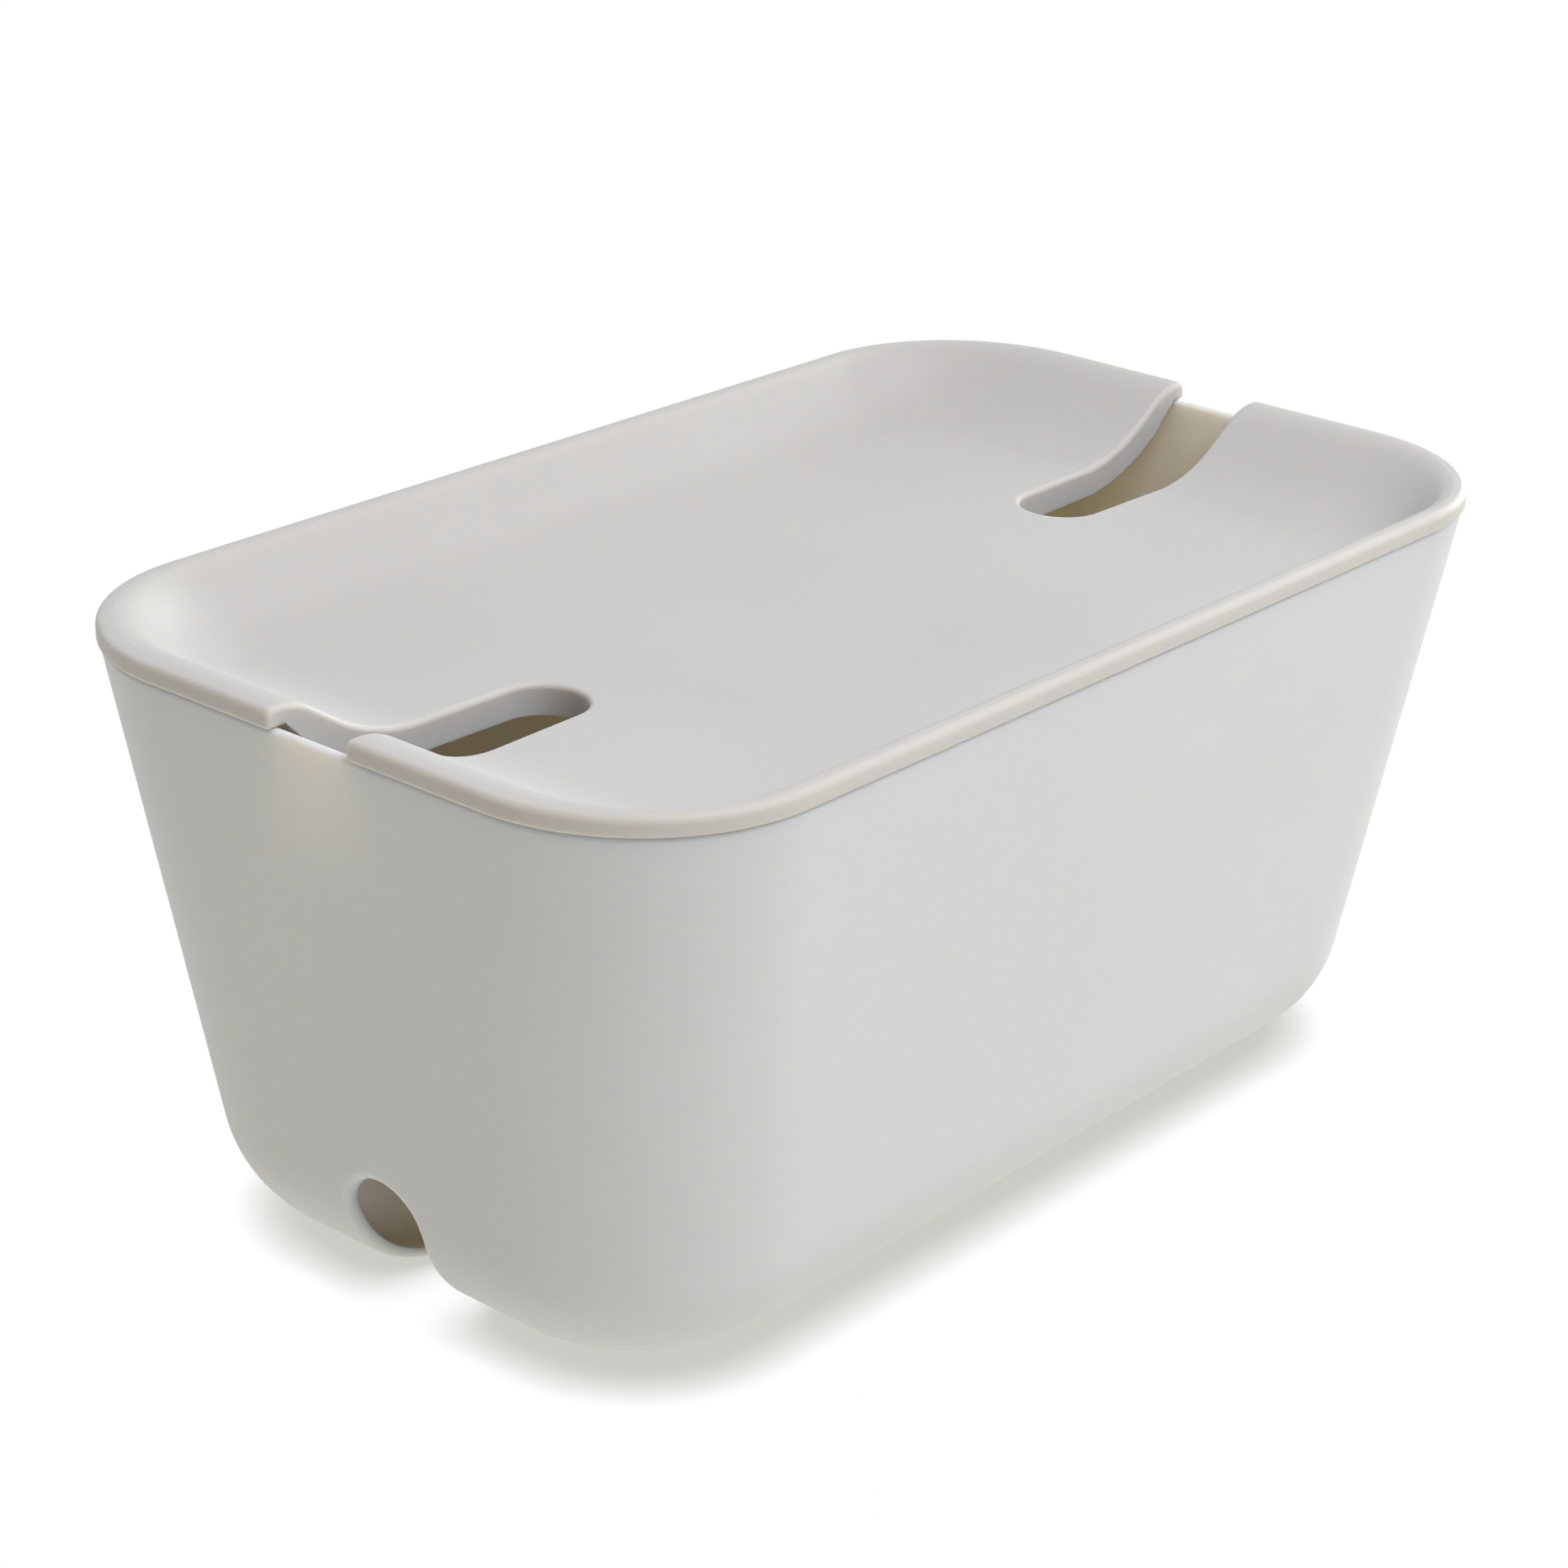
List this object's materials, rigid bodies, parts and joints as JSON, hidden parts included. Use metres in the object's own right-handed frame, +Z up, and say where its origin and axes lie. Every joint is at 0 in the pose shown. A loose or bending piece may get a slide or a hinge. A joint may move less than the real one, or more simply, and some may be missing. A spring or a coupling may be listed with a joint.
{
  "type": "cable management box",
  "caption": "Free-standing plastic tub with a lift-off tray lid that hides a socket strip and its leads.",
  "frame": {"origin": "on the ground under the middle of the tub", "axes": "+X along the length, +Y across the width, +Z up"},
  "size_m": [0.3, 0.1764, 0.1374],
  "materials": {
    "tub_plastic": "satin moulded white",
    "lid_plastic": "satin moulded off-white",
    "foot_rubber": "matt grey"
  },
  "bodies": {
    "tub": {"cable_tub": "tub_plastic", "foot_front_left": "foot_rubber", "foot_back_left": "foot_rubber", "foot_front_right": "foot_rubber", "foot_back_right": "foot_rubber"},
    "lid": {"tray_lid": "lid_plastic"}
  },
  "joints": [
    {"name": "lid_lift", "type": "slide", "parent": "tub", "child": "lid", "axis": [0, 0, 1], "range_m": [0, 0.06]}
  ]
}
